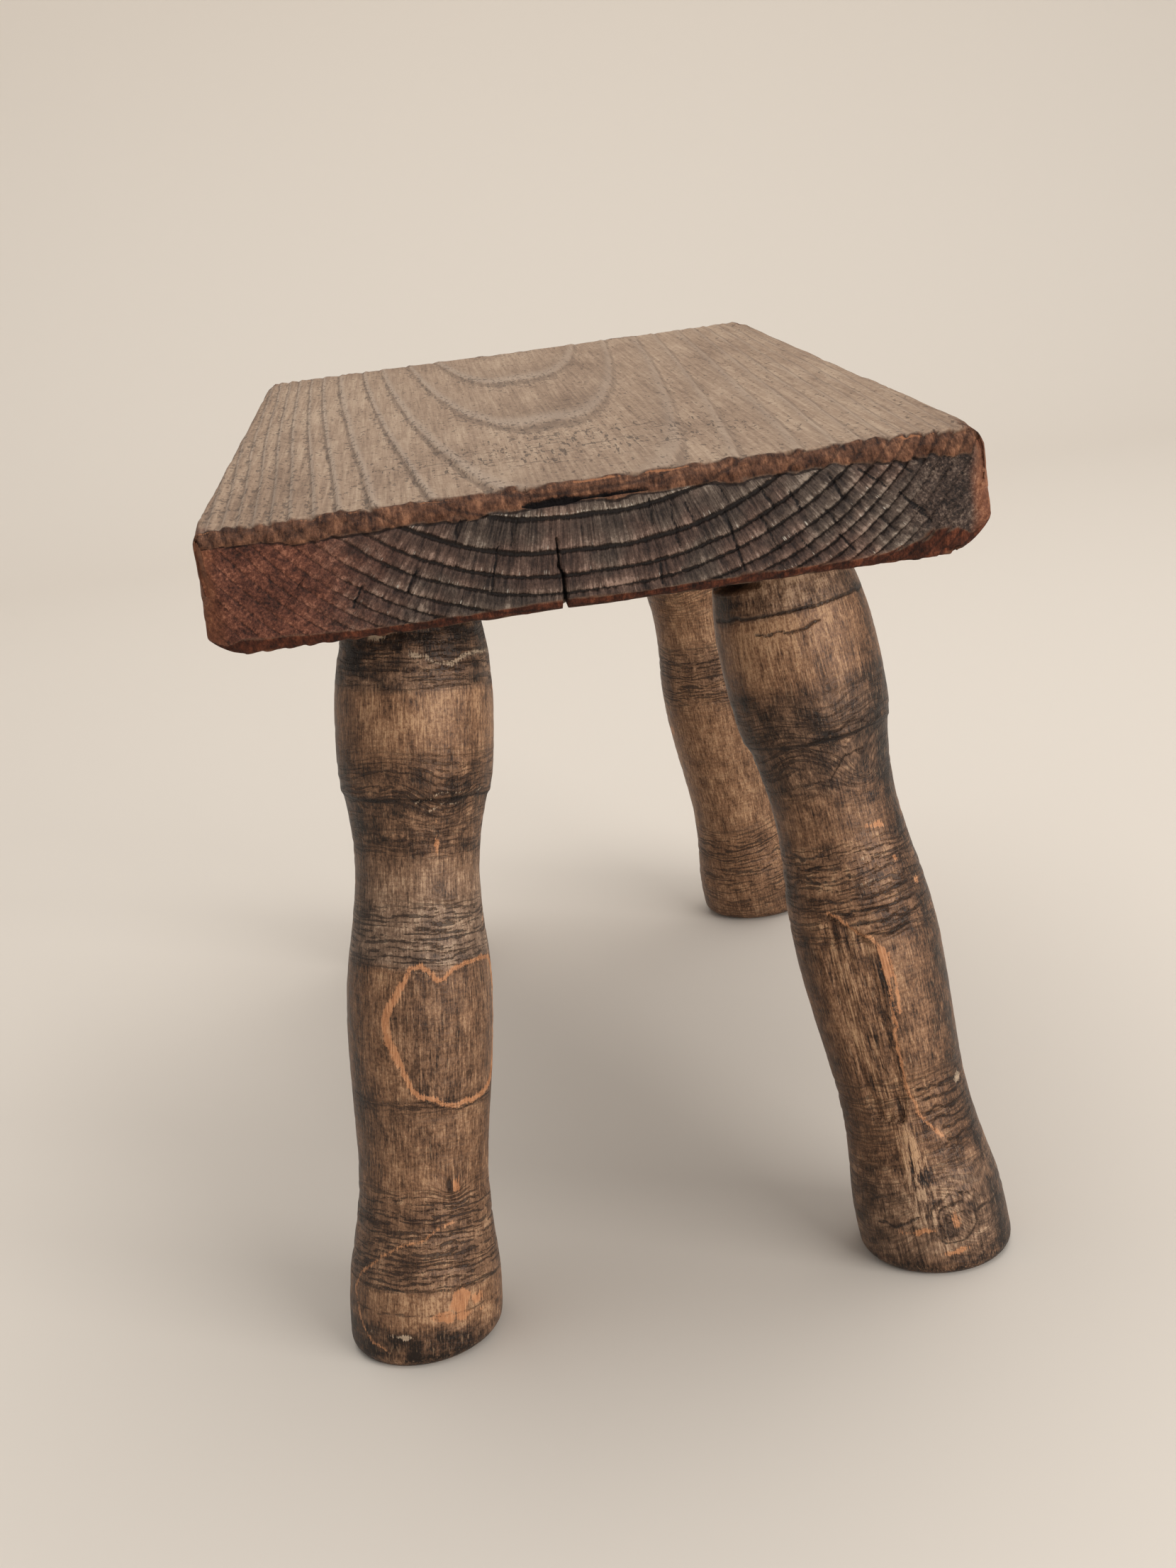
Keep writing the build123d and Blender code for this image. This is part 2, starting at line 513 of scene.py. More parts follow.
def seat_face(look, place, late, ring_gap, crazed):
    """Colour, streaks and marks of the sitting face: greyed brown along the grain, with a painted highlight
    along each ridge.
    """
    streaks = look.noise(place, (1100, 26, 1100), 5, 0.65)
    clouds = look.noise(place, (30, 9, 30), 5, 0.65)
    grit = look.noise(place, (900, 500, 900), 2, 0.6)
    tone = look.sum(-1.82, (clouds, 1.7), (streaks, 1.95), (grit, 1))
    face = look.ramp(tone, (0.166, 0.096, 0.056), (0.3, 0.196, 0.127), (0.43, 0.308, 0.212))
    band = look.times(look.range(late, 0.35, 0.95), look.range(late, 1, 0.985))
    face = look.blend((band, 0.28), face, (0.15, 0.094, 0.062))
    right = look.range(look.parts(place)[0], -0.01, 0.035)
    line = look.range(look.sum(ring_gap, (streaks, 1.3)), 1.08, 0.84)
    line = look.times(line, look.range(clouds, 0.35, 0.6, 0.25, 0.75),
                      look.range(right, 0, 1, 0.62, 0.45))
    face = look.blend(line, face, (0.08, 0.046, 0.029))
    # A painted highlight along each raised ridge of late wood, stronger on the left.
    edge = (look.range(late, 0.7, 0.88), look.range(late, 0.97, 0.9), look.range(right, 0, 1, 0.38, 0.2))
    face = look.blend(edge, face, (0.46, 0.36, 0.28))
    near_line = look.times(look.range(ring_gap, 1.8, 0.5), look.math("SUBTRACT", 1, right))
    pits = look.noise(place, (900, 300, 900), 2)
    pits = look.range(look.sum(pits, (near_line, 0.08)), 0.64, 0.69)
    splits = look.noise(place, (1150, 150, 1150), 2)
    across = look.noise(place, (130, 850, 130), 3)
    net = look.sum(look.math("MAXIMUM", splits, across), (crazed, 0.1))
    net = look.times(look.range(net, 0.715, 0.75), look.range(crazed, 0, 0.6), 0.85)
    marks = look.math("MAXIMUM", look.times(pits, 0.65), net)
    face = look.blend((marks, 0.9), face, (0.042, 0.023, 0.014))
    return face, streaks, marks


def seat_end(look, place, wood, late, spacing, ring_gap, tint):
    """Colour and relief of the end grain: charcoal, red-brown to one side, rays between dark rings."""
    ray, ring = wood[0], wood[1]
    number = look.math("FLOOR", ring)
    within_ring = look.node("ShaderNodeCombineXYZ", look.times(ray, 1.25), look.times(number, 5.7),
                            look.times(late, 0.6)).outputs[0]
    rays = look.noise(within_ring, None, 5, 0.72)
    fine = look.noise(place, (1300, 1300, 1300), 3, 0.75)
    patches = look.noise(place, (170, 170, 170), 5, 0.65)
    frost = look.painted("frost")
    glint = look.times(look.range(late, 0.3, 0.93), look.range(late, 1, 0.96))
    tone = look.sum(-1.54, (rays, 2), (patches, 1.05), (fine, 0.8), (glint, 0.33),
                    (frost, 0.25), (look.painted("shade"), 1))
    grey = look.ramp(tone, (0.012, 0.008, 0.007), (0.042, 0.029, 0.023), (0.098, 0.07, 0.054),
                     (0.27, 0.215, 0.17))
    warm = look.range(look.noise(place, (70, 70, 70), 4), 0.42, 0.6)
    grey = look.blend((warm, 0.8), grey, (1.13, 0.9, 0.86), "MULTIPLY")
    coarse_tone = look.sum(-1.62, (fine, 2.7), (patches, 1.3))
    coarse = look.ramp(coarse_tone, (0.01, 0.006, 0.005), (0.058, 0.036, 0.027), (0.2, 0.145, 0.11))
    grey = look.blend(tint[1], grey, coarse)
    red_tone = look.sum(-1.55, (fine, 2), (patches, 1.35), (rays, 0.6), (glint, 0.18))
    red = look.ramp(red_tone, (0.018, 0.006, 0.004), (0.07, 0.023, 0.014), (0.146, 0.051, 0.03),
                    (0.31, 0.128, 0.076))
    end = look.blend(tint[0], grey, red)
    faint = look.math("MAXIMUM", tint[0], look.times(tint[1], 0.85))
    gap = look.sum(0.07, (ring_gap, 1), (spacing, -0.11), (rays, 0.8), (fine, 0.5), (patches, 0.7))
    line = look.times(look.range(gap, 1.16, 0.66), look.range(faint, 0, 1, 0.95, 0.36))
    end = look.blend(line, end, (0.009, 0.006, 0.005))
    specks = look.noise(within_ring, (2.6, 1, 1), 2)
    specks = look.range(look.sum(specks, (frost, 0.19)), 0.64, 0.71)
    near_line = look.times(look.range(gap, 0.9, 1.1), look.range(gap, 2.1, 1.4))
    specks = look.times(specks, near_line, look.range(late, 0.4, 0.6), look.range(faint, 0.6, 0.2))
    end = look.blend((specks, 0.8), end, (0.5, 0.45, 0.38))
    rim = look.ramp(look.sum(-0.8, (fine, 1.1), (patches, 1.4)), (0.05, 0.015, 0.008),
                    (0.18, 0.062, 0.03), (0.44, 0.19, 0.09))
    height = look.sum(0, (rays, 1.1), (fine, 0.65), (line, -0.7))
    return end, rim, height


def seat_arris(look, place, ring_gap, red):
    """Colour of the worn arrises: dark red-brown strokes along the grain, rubbed to orange."""
    strokes = look.noise(place, (900, 130, 420), 5, 0.7)
    patches = look.noise(place, (230, 230, 230), 6, 0.7)
    tone = look.sum(-1.62, (strokes, 2.2), (patches, 2.05))
    worn = look.ramp(tone, (0.016, 0.006, 0.004), (0.066, 0.027, 0.014), (0.135, 0.058, 0.031),
                     (0.27, 0.125, 0.066))
    crack = look.range(look.sum(ring_gap, (strokes, 0.9)), 1, 0.6)
    worn = look.blend((crack, look.range(red, 0, 1, 0.5, 0.2)), worn, (0.01, 0.005, 0.004))
    worn = look.blend((look.painted("low"), 0.8), worn, (0.47, 0.2, 0.13), "MULTIPLY")
    orange = look.ramp(strokes, (0.16, 0.058, 0.026), (0.42, 0.185, 0.085))
    bare = look.range(look.sum(look.painted("bare"), (strokes, 1.6)), 0.9, 1.25)
    return look.blend(bare, worn, orange), strokes


def seat_material():
    look = Look("weathered_plank")
    wood = look.parts(look.painted("wood", "Vector"))
    tint = look.parts(look.painted("tint", "Vector"))
    facing = look.parts(look.painted("facing", "Vector"))
    place = look.node("ShaderNodeTexCoord").outputs["Object"]
    late = look.math("FRACT", wood[1])
    nearest = look.math("MINIMUM", late, look.math("SUBTRACT", 1, late))
    spacing = look.painted("spacing")
    ring_gap = look.times(nearest, spacing)

    face, streaks, marks = seat_face(look, place, late, ring_gap, look.painted("crazed"))
    end, rim, end_height = seat_end(look, place, wood, late, spacing, ring_gap, tint)
    worn, strokes = seat_arris(look, place, ring_gap, tint[0])
    dull = look.blend(0.6, face, (0.06, 0.028, 0.016))
    side = look.blend(facing[1], dull, face)
    colour = look.blend(facing[0], side, end)
    colour = look.blend((tint[2], 0.8), colour, rim)
    colour = look.blend(facing[2], colour, worn)
    grit = look.noise(place, (1200, 1200, 1200), 3, 0.7)
    # A dark line painted along the ledge under the bevel: painted shade.
    ledge = look.range(look.sum(look.painted("ledge"), (grit, 0.8)), 0.55, 1.05)
    colour = look.blend((ledge, 0.8), colour, (0.01, 0.005, 0.004))
    # Checks and the slot are painted near black here; in the slot that is painted shade.
    check = look.range(look.sum(look.painted("check"), (grit, 0.7)), 0.15, 0.5)
    colour = look.blend(check, colour, (0.005, 0.003, 0.003))

    rough = look.sum(0.46, (facing[2], 0.26), (streaks, 0.16), (facing[0], 0.08))
    flat_height = look.sum(0, (streaks, 0.7), (marks, -0.6))
    flat_height = look.times(flat_height, look.math("SUBTRACT", 1, facing[0]))
    height = look.sum(flat_height, (end_height, facing[0]), (look.times(strokes, facing[2]), 1.3),
                      (look.times(grit, facing[2]), 0.6))
    return look.finish(colour, rough, 0.2, height, 0.45)


# ---- the turned legs

LEG_COLUMNS, LEG_ROWS, SOLE_ROWS = 224, 352, 12
MEAN_RADIUS, FOOT_RADIUS = 18.5, 20
NOISE_RADIUS = 19           # of the cylinder on which noise is read
OUTLINE = ((-8, 19.4), (0, 19.7), (9, 20), (17, 19.7), (25, 18.6), (34, 17.5), (46, 16.9),
           (58, 17.5), (72, 18.4), (87, 18.9), (98, 18.35), (109, 17), (116, 16.3), (123, 16),
           (131, 16.5), (138, 17.8), (145, 19.3), (153, 19.95), (161, 20.1), (170, 19.85),
           (177, 19.1), (183, 18), (188, 16.9), (192, 16.2), (200, 15.5))
SOLE_ROUND = 3.5
SHOULDER_RADIUS = 14.5      # the square shoulder's outer edge, inside the CAD leg's
TENON_RADIUS = 12
TENON_SHOWN = 6             # only the start of the tenon is made: the rest is inside the board
SHOULDER_MEETS = 16.5       # how far from the axis the shoulder meets the board
STEP_UP = 142               # height of the small step under the top swell

# Height up the leg, tone from -1 (black) to 1 (light tan), turning marks and greyness from 0 to 1. The dark
# last rows of each table, right under the board, are painted shadow from the seat.
FRONT_LEFT_BANDS = (
    (0, -0.65, 0.3, 0.2), (6, -0.4, 0.3, 0.2), (8.5, 0.1, 0.2, 0), (16.5, 0.25, 0.2, 0),
    (18.5, 0.1, 0.85, 0.2), (30, 0.1, 0.9, 0.2), (40, 0.05, 0.8, 0.1), (44, 0.1, 0.3, 0),
    (62, 0.05, 0.3, 0.1), (65, -0.2, 0.7, 0.1), (68, 0.05, 0.2, 0), (99.5, 0.1, 0.3, 0),
    (101.5, 0.4, 0.8, 0.8), (114, 0.4, 0.75, 0.7), (118, 0.22, 0.3, 0.5), (127, 0.2, 0.3, 0.3),
    (129, -0.2, 0.6, 0.2), (137, -0.15, 0.5, 0.2), (142, -0.42, 0.8, 0.2), (150, -0.2, 0.7, 0.1),
    (156, 0.2, 0.3, 0), (169, 0.35, 0.1, 0), (171, -0.1, 0.6, 0.4), (178, -0.35, 0.8, 0.4),
    (182, -0.75, 0.6, 0.3), (200, -0.95, 0.4, 0.3))
FRONT_RIGHT_BANDS = (
    (0, -0.7, 0.3, 0.2), (6, 0.12, 0.4, 0.5), (24, 0.1, 0.5, 0.3), (31, 0.05, 0.5, 0),
    (50, 0.1, 0.6, 0), (56, 0, 0.15, 0), (88, 0, 0.2, 0), (90, 0.15, 0.6, 0),
    (113, 0.2, 0.75, 0.1), (117, 0.1, 0.3, 0), (127, -0.05, 0.3, 0.1), (130, -0.35, 0.5, 0.3),
    (138, -0.25, 0.7, 0.4), (148, -0.3, 0.6, 0.4), (155, -0.2, 0.4, 0.2), (159, 0.3, 0.25, 0),
    (175, 0.6, 0.2, 0), (176.3, 0.2, 0.3, 0.4), (184, 0.55, 0.2, 0.4), (200, -0.75, 0.2, 0.2))
# The rear legs darken at the top: painted shadow under the seat.
REAR_BANDS = (
    (0, -0.7, 0.3, 0.1), (7, -0.25, 0.5, 0.1), (18, 0, 0.7, 0), (34, -0.1, 0.8, 0),
    (44, 0.05, 0.3, 0), (66, 0.1, 0.3, 0), (90, 0.1, 0.3, 0), (96, -0.2, 0.9, 0.1),
    (110, -0.1, 0.8, 0.2), (118, 0.2, 0.3, 0), (134, 0.1, 0.5, 0), (144, -0.45, 0.8, 0.2),
    (152, -0.2, 0.5, 0), (158, 0.15, 0.2, 0), (166, 0, 0.3, 0), (176, -0.7, 0.8, 0.2),
    (200, -0.9, 0.4, 0.2))

# Marks are placed by angle round the leg in degrees, 0 at the front and 90 to the right, and height.
FLAKE = [(95, 85), (88, 96), (78, 100), (60, 101), (45, 100.8), (35, 100.3), (26, 99.5), (18, 97.3),
         (12, 97.5), (6, 100), (0, 101), (-8, 100.5), (-12, 97.5), (-18, 93.5), (-25, 90.5), (-29, 87),
         (-27, 83), (-23, 79), (-18, 76), (-12, 73), (-8, 69.5), (-3, 67.8), (5, 67.2), (12, 66.8),
         (18, 65.6), (27, 64.8), (36, 65.3), (45, 65), (55, 65.3), (66, 66.5), (78, 68.5), (90, 74)]
SPLIT_EDGE = [(-34, 98.5), (-25, 97), (-12, 92), (-5, 91), (0, 88), (0.5, 80), (0, 66), (-3, 65),
              (-3, 48), (2, 42), (10, 38), (17, 34.5)]
FACET = [(-48, 92), (-34, 98.5), (-12, 92), (0, 88), (0, 66), (-3, 65), (-3, 48), (-12, 40), (-40, 42),
         (-52, 60)]


def on_leg(line):
    """Turns (angle, height) points into millimetres round and up the leg."""
    return [(math.radians(angle) * MEAN_RADIUS, height) for angle, height in line]


def turned_radius(height):
    """The turned outline's radius at a height along the axis: a smooth curve through OUTLINE."""
    heights, radii = np.array(OUTLINE).T
    slopes = np.gradient(radii, heights)
    i = np.clip(np.searchsorted(heights, height) - 1, 0, len(heights) - 2)
    span = heights[i + 1] - heights[i]
    t = (height - heights[i]) / span
    return ((1 + 2 * t) * (1 - t) ** 2 * radii[i] + t * (1 - t) ** 2 * span * slopes[i]
            + t * t * (3 - 2 * t) * radii[i + 1] + t * t * (t - 1) * span * slopes[i + 1])


def leg_axis(node):
    """The middle of a CAD leg's sole and the middle of its tenon's end, in millimetres."""
    points = points_of(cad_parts[node])
    ends = []
    for there in (points[:, 2] < 0.05, points[:, 2] > points[:, 2].max() - 4.6):
        ends.append((points[there].min(0) + points[there].max(0)) / 2)
    return ends


class LegWear:
    """Relief, tones and marks over one leg's turned surface, one value for each vertex."""

    def __init__(self, height, turn, bands, seed):
        self.up = height
        self.round = turn * MEAN_RADIUS
        self.degrees = np.degrees(turn)
        self.seed = seed
        self.flat = np.stack([np.sin(turn) * NOISE_RADIUS, np.cos(turn) * NOISE_RADIUS, height], axis=1)
        self.rough = noise(self.flat, (12, 12, 6), seed, 3)
        up, *levels = np.array(bands).T
        wavy = height + 1.1 * self.rough
        self.tone, self.chatter, self.grey = (np.interp(wavy, up, level) for level in levels)
        self.relief = 0.22 * noise(self.flat, (22, 22, 30), seed + 1, 2)
        self.lift = np.zeros(len(height))
        self.fibre = np.full(len(height), 0.10)
        self.bare, self.pale, self.dark = (np.full(len(height), AWAY) for _ in range(3))
        self.turn_marks()

    def turn_marks(self):
        """Grooves the gouge left, deepest where chatter is strong, and the step under the top swell."""
        place = np.stack([self.up / 2.3, self.round / 17], axis=1)
        rings = noise(place, 1, self.seed + 2, 2)
        self.relief -= 0.34 * self.chatter * step(0.1, 0.7, rings)
        self.relief += 0.1 * noise(self.flat, 2.6, self.seed + 3, 2)
        low = self.up + 1.3 * self.rough
        self.relief -= 0.45 * step(STEP_UP + 1.5, STEP_UP, low) * step(128, STEP_UP, low)
        self.mark("dark", 0.35 - np.abs(low - STEP_UP - 0.6) + 0.4 * self.rough)

    def mark(self, field, within):
        """Adds to a field of marks, which says how far inside the nearest one each vertex is."""
        setattr(self, field, np.maximum(getattr(self, field), within))

    def lines(self, field, width, *lines, wander=0.5):
        shift = wander * noise(self.flat, 3, self.seed + 5, 2)
        for line in lines:
            self.mark(field, 0.5 * width - line_gap(self.round + shift, self.up + shift, on_leg(line)))

    def patches(self, field, *ovals):
        """Each oval is its angle and height, half its width and height, and how uneven its edge is."""
        uneven = noise(self.flat, 2.6, self.seed + 6, 2)
        for angle, up, half_round, half_up, amount in ovals:
            away = np.hypot((self.round - math.radians(angle) * MEAN_RADIUS) / half_round,
                            (self.up - up) / half_up)
            self.mark(field, (1 - away) * min(half_round, half_up) + amount * uneven)

    def scatter(self, field, count, seed):
        """Small patches at random places round the back and sides."""
        ovals = []
        for number in range(count):
            pick = lattice_value(np.array([[number, part] for part in range(4)]), seed)
            angle = (mix(75, 285, pick[0]) + 180) % 360 - 180
            ovals.append((angle, mix(6, 172, pick[1]), mix(0.6, 2.2, pick[2]), mix(0.6, 2.2, pick[3]), 1))
        self.patches(field, *ovals)

    def bend(self, *knots):
        """Makes the grain flow round knots, given by angle, height, reach and amount."""
        for angle, up, reach, amount in knots:
            away = np.hypot(self.round - math.radians(angle) * MEAN_RADIUS, self.up - up) / reach
            self.lift += amount * np.exp(-away * away)

    def region(self, outline):
        """1 inside an outline given by angles and heights, 0 outside."""
        shift = 0.6 * noise(self.flat, 3, self.seed + 7, 2)
        return inside(self.round + shift, self.up + shift, on_leg(outline)).astype(float)

    def spot(self, angle, up, half_angle, half_up):
        return bump(self.degrees, angle, half_angle) * bump(self.up, up, half_up)

    def lighten(self, *spots):
        """Each spot is an amount, below 0 to darken, then its angle, height and half sizes."""
        for amount, *spot in spots:
            self.tone += amount * self.spot(*spot)

    def mottle(self, *rough_bands):
        """Dark and light patches, each band by its low and high end and its amount."""
        mottled = noise(self.flat, (3.8, 3.8, 1.7), self.seed + 8, 3)
        for low, high, amount in rough_bands:
            self.tone += amount * mottled * step(low - 4, low, self.up) * step(high + 4, high, self.up)


def front_left_wear(wear):
    """A flake with a bare orange rim, a split at the foot, and glue squeezed out at the top."""
    flake = wear.region(FLAKE)
    wear.relief -= 0.3 * flake
    wear.tone -= 0.12 * flake
    wear.grey += 0.1 * flake
    wear.fibre += 0.35 * flake
    wear.lines("bare", 1.1, FLAKE + FLAKE[:1])
    wear.lines("bare", 1.9, [(-14, 96.5), (-25, 90.5), (-29, 87), (-26, 82), (-18, 76)])
    wear.lines("pale", 0.9, [(-2, 178.8), (8, 178), (18, 176.4), (30, 176.2), (44, 178), (58, 178.6),
                             (80, 178)])
    wear.lines("pale", 0.1, [(-2, 142), (12, 143.6), (20, 144.8), (30, 144.2), (45, 143.4), (70, 145.5)])
    wear.lines("pale", 0.05, [(8, 139.4), (22, 142), (34, 141)], wander=0.8)
    wear.lines("bare", 0.35, [(-38, 25.4), (-20, 28.6), (0, 30.6), (10, 33), (25, 34.6)], wander=0.7)
    wear.lines("bare", 0.45, [(-42, 24), (-60, 19.5), (-67, 15), (-62, 11), (-55, 6), (-45, 2.5), (-30, 1)])
    wear.lines("dark", 0.3, [(-70, 66.4), (-30, 65.6), (0, 66.3), (30, 63.6), (70, 65)])
    wear.lines("dark", 0.4, [(-80, 17.7), (-20, 17.6), (20, 17.4), (70, 17.8)])
    wear.lines("dark", 0.1, [(-70, 11.4), (-10, 11), (60, 11.6)], wander=0.8)
    wear.patches("pale", (-30, 182.8, 2.6, 0.9, 0.5), (-22, 5.4, 3.2, 0.3, 0.9))
    wear.patches("bare", (17, 132, 0.5, 1.8, 1), (27, 43, 1.1, 1.9, 1.3), (25, 13.6, 2.2, 3.2, 1.5),
                 (20, 10.5, 4.5, 0.8, 2), (42, 13.5, 1.8, 1.4, 1.2))
    wear.patches("dark", (22, 43.6, 0.9, 2.4, 0.9))
    # The darkening near the top at -42 degrees is painted shade under the board.
    wear.lighten((0.35, 8, 163, 38, 8), (0.25, -5, 44, 40, 7), (0.45, 10, 12.5, 60, 7),
                 (-0.6, -42, 179, 28, 10), (-0.5, 0, 3, 90, 5))
    # Painted shade down the left side, away from the window.
    wear.tone -= 0.55 * step(-36, -62, wear.degrees)
    wear.mottle((129, 150, 0.8), (0, 9, 1.2), (101, 116, 0.8), (172, 190, 1.3), (18, 42, 0.8))
    wear.bend((20, 142, 7, 3), (-20, 148, 9, -2.5), (24, 43, 4, 3))
    wear.scatter("bare", 9, 501)


def front_right_wear(wear):
    """A long split facet with a bare orange edge, a knot at the foot, and a broken shoulder."""
    facet = wear.region(FACET) * step(-54, -40, wear.degrees)
    wear.fibre += facet + 0.8 * wear.spot(-8, 33, 26, 18) + 0.8 * wear.spot(0, 180, 70, 9)
    wear.fibre += 0.4 * wear.spot(0, 166, 80, 10)
    flat_radius = 17.9 / np.maximum(np.cos(wear.flat[:, 0] / NOISE_RADIUS + 0.42), 0.6)
    wear.relief -= facet * np.clip(19.6 - flat_radius, 0.2, 1.2)
    strands = noise(np.stack([wear.round / 0.9, wear.up / 9], axis=1), 1, 301, 2)
    wear.relief += 0.32 * strands * np.clip(wear.fibre - 0.4, 0, 1)
    wear.fibre += 0.7 * wear.spot(0, 14, 60, 20) + 2.6 * wear.spot(-12, 28, 15, 20)
    wear.chatter *= 1 - 0.9 * wear.spot(-12, 28, 16, 22)
    wear.lines("bare", 0.7, SPLIT_EDGE)
    wear.lines("bare", 1.6, [(2, 87), (2.5, 80)])
    wear.lines("bare", 0.5, [(6, 86), (6, 70)], wander=1.2)
    wear.lines("dark", 0.5, [(-1.5, 86), (-1.5, 67)])
    wear.lines("dark", 0.7, [(-80, 176.4), (-20, 176.2), (20, 175.8), (80, 176.4)])
    for up, left, right in ((171.6, -36, 12), (113.6, -62, -28), (110.6, -58, -32), (107, -50, -10),
                            (101.4, -35, 40), (98, -30, 45), (94.6, -20, 45), (91.4, -8, 30),
                            (47.6, 3, 60), (44.6, 6, 58), (41.6, 10, 58), (38.8, 14, 60), (36.2, 20, 60),
                            (33, 22, 60), (21.5, -60, -40), (14.5, -50, -20), (13, 30, 55)):
        sagging = [(left, up + 0.3), ((left + right) / 2, up - 0.5), (right, up + 0.2)]
        wear.lines("dark", 0.6, sagging, wander=1.1)
    wear.lines("dark", 0.25, [(-60, 134), (-45, 136.6), (-30, 136)],
               [(-30, 131.6), (-5, 132.4), (8, 137), (30, 138.4)],
               [(-8, 142.4), (2, 144.4), (24, 145.4), (45, 143.4)], [(26, 3), (26, 10), (29, 18)],
               [(18, 19), (32, 17), (44, 12), (46, 5)], [(-6, 17), (8, 19.5), (22, 18.5)], wander=1.2)
    for turn in range(3):
        swirl = [(8 + (7 + 6 * turn) * math.cos(part), 13 + (2 + 2.2 * turn) * math.sin(part))
                 for part in np.linspace(0.9 * turn, 3.9 + 0.9 * turn, 14)]
        wear.lines("dark", 0.35, swirl, wander=1.5)
    wear.patches("bare", (24, 117.6, 1.9, 0.9, 1.4), (36, 108, 0.8, 0.9, 0.9), (53, 100.6, 1, 0.7, 0.6),
                 (9, 12.6, 1, 1.6, 0.8), (-14, 11.4, 2.4, 0.4, 1.3), (4, 4.2, 2.4, 0.3, 1))
    wear.patches("pale", (8, 110.4, 2.4, 0.5, 0.9), (6, 104.6, 2, 0.3, 0.7), (52, 46.6, 1.9, 1.3, 0.9))
    # The darkening near the top at -62 degrees is painted shade in the broken shoulder's gap under the
    # board.
    wear.lighten((0.35, 9, 78, 9, 11), (0.9, -12, 28, 13, 19), (-0.4, 6, 37, 9, 6), (0.25, 10, 14, 60, 18),
                 (-0.5, -4, 146, 24, 8), (-0.4, 16, 13, 17, 9), (-1.1, -62, 181, 28, 9),
                 (0.4, 35, 150, 20, 8), (0.15, 0, 166, 50, 10))
    # Painted shade down the left side, away from the window, and a darker right side: painted shade that
    # tones down the window's sheen there.
    wear.tone -= 0.35 * step(-46, -66, wear.degrees) + 0.9 * bump(wear.degrees, 58, 42)
    wear.mottle((124, 155, 0.8), (0, 30, 1), (88, 116, 0.9), (178, 190, 0.8))
    wear.bend((25, 133, 7, 7), (-25, 140, 10, -4), (0, 148, 9, 4), (32, 12, 8, 8), (-5, 12, 9, -6))
    # The shoulder is broken away at the left and leaves a gap under the board, darkened as painted shade.
    gap = step(182.6, 184.4, wear.up + 0.4 * wear.rough) * bump(wear.degrees, -56, 34) ** 0.5
    wear.relief -= 4 * gap
    wear.tone -= gap
    wear.scatter("bare", 9, 502)


def rear_wear(wear):
    wear.scatter("bare", 8, 503 + wear.seed)
    wear.tone += 0.25
    wear.lighten((0.5, -40, 152, 30, 10), (0.4, -20, 96, 30, 9))
    wear.lines("dark", 0.4, [(-60, 110), (-10, 109), (40, 110.5)])
    wear.bend((-30, 140, 8, 5))


def make_leg(node, material, bands, marks, seed):
    """One leg: sole, turned side, square shoulder and the start of its tenon, as rings of points."""
    sole, tenon_end = leg_axis(node)
    axis = (tenon_end - sole) / np.linalg.norm(tenon_end - sole)
    right = np.cross(np.array([0, 1, 0]), axis)
    right /= np.linalg.norm(right)
    forward = np.cross(right, axis)
    length = (seat_lo[2] - sole[2]) / axis[2]
    shoulder = length - SHOULDER_MEETS * math.tan(math.acos(axis[2]))

    angle = np.linspace(-math.pi, math.pi, LEG_COLUMNS, endpoint=False)
    outward = np.outer(np.sin(angle), right) + np.outer(np.cos(angle), forward)
    ground = -FOOT_RADIUS * outward[:, 2] / axis[2]
    rise = np.linspace(0, 1, LEG_ROWS)[:, None]
    height = mix(ground[None, :], shoulder, rise)
    radius = turned_radius(height)
    above = height * axis[2] + radius * outward[:, 2]
    under_edge = np.clip(SOLE_ROUND - above, 0, SOLE_ROUND)
    radius = radius - (SOLE_ROUND - np.sqrt(SOLE_ROUND ** 2 - under_edge ** 2 * 0.999))

    turn = np.broadcast_to(angle, height.shape)
    wear = LegWear(height.ravel(), turn.ravel(), bands, seed)
    marks(wear)
    radius = radius + (wear.relief.reshape(radius.shape) - 0.1) * step(0, 5, above)
    side = sole + height[..., None] * axis + radius[..., None] * outward

    centre = sole * [1, 1, 0]
    parts = np.linspace(0, 1, SOLE_ROWS, endpoint=False)[1:, None, None]
    bottom = mix(centre, side[0] * [1, 1, 0], parts)
    tops = [sole + (shoulder + up) * axis + wide * outward
            for up, wide in ((0, SHOULDER_RADIUS), (0, TENON_RADIUS), (TENON_SHOWN, TENON_RADIUS),
                             (TENON_SHOWN, TENON_RADIUS / 2))]
    rings = np.concatenate([bottom, side, np.array(tops)])
    rings[..., 2] = np.maximum(rings[..., 2], 0)
    points = np.concatenate([rings.reshape(-1, 3), [centre, sole + (shoulder + TENON_SHOWN) * axis]])

    here = np.arange(len(rings) * LEG_COLUMNS).reshape(-1, LEG_COLUMNS)
    beside = np.roll(here, -1, axis=1)
    faces = np.stack([here[:-1], beside[:-1], beside[1:], here[1:]], axis=2).reshape(-1, 4).tolist()
    for low, low_next, high, high_next in np.stack([here[0], beside[0], here[-1], beside[-1]], 1).tolist():
        faces += [(here.size, low_next, low), (here.size + 1, high, high_next)]
    leg = new_piece(node.replace("leg_", "turned_leg_"), points, faces, material)

    offset = points - sole
    local = np.stack([offset @ right, offset @ forward, offset @ axis], axis=1)
    first = len(bottom) * LEG_COLUMNS
    local[first:first + height.size, 2] += wear.lift
    fields = {"grain": local * MM + seed * 0.37}
    for name, at_sole in (("tone", -0.5), ("chatter", 0.0), ("grey", 0.3), ("fibre", 0.5), ("bare", AWAY),
                          ("pale", AWAY), ("dark", AWAY)):
        fields[name] = np.full(len(points), at_sole)
        fields[name][first:first + height.size] = getattr(wear, name)
    paint(leg, **fields)
    finish_piece(leg, node)


